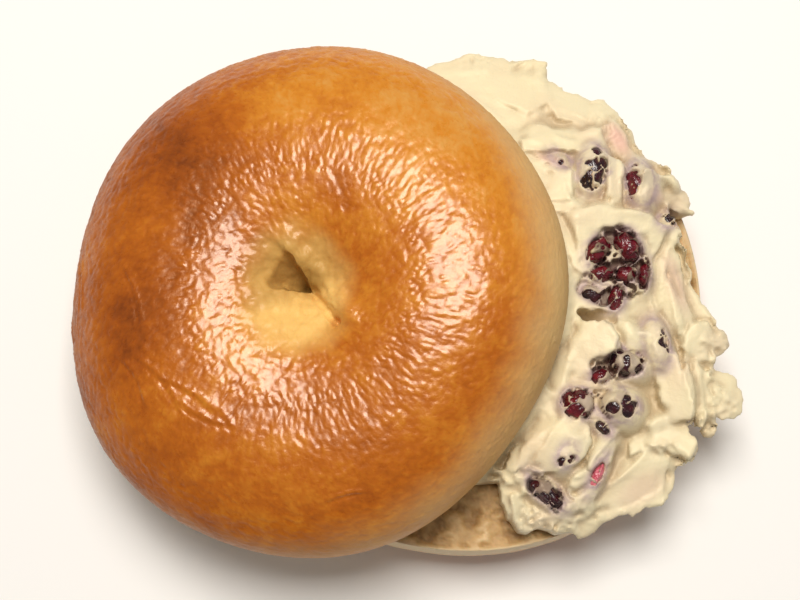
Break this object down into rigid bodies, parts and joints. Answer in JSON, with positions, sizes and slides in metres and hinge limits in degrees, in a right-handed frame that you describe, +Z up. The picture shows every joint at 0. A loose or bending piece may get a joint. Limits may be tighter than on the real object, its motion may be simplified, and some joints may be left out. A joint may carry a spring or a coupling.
{
  "type": "bagel",
  "caption": "Sliced bagel lying open: its glossy top half rests tipped on a thick spread of cream cheese with berries on the bottom half.",
  "frame": {"origin": "on the table, under the middle of the whole", "axes": "+Z up; +X towards the side where the spread shows, with the top half slid to -X; +Y away from the eater"},
  "size_m": [0.1455, 0.1134, 0.0565],
  "materials": {
    "top_crust": "glossy golden-brown baked crust, wrinkled, darker in patches and pale tan down its sides and round the navel",
    "bottom_bread": "pale golden crust with an open, toasted crumb on the cut face",
    "cream_cheese": "thick ivory cream cheese with knife marks and a soft, moist shine",
    "berry_dark": "blue-black berry skin, wet",
    "berry_red": "dark maroon berry skin, wet",
    "berry_pink": "pinkish red berry flesh, wet"
  },
  "bodies": {
    "root": {"bottom_half": "bottom_bread", "cream_cheese": "cream_cheese", "top_half": "top_crust", "berry_01": "berry_dark", "berry_02": "berry_red", "berry_03": "berry_dark", "berry_04": "berry_dark", "berry_05": "berry_red", "berry_06": "berry_red", "berry_07": "berry_red", "berry_08": "berry_red", "berry_09": "berry_red", "berry_10": "berry_red", "berry_11": "berry_dark", "berry_12": "berry_dark", "berry_13": "berry_dark", "berry_14": "berry_red", "berry_15": "berry_red", "berry_16": "berry_dark", "berry_17": "berry_dark", "berry_18": "berry_dark", "berry_19": "berry_dark", "berry_20": "berry_pink"}
  },
  "joints": []
}
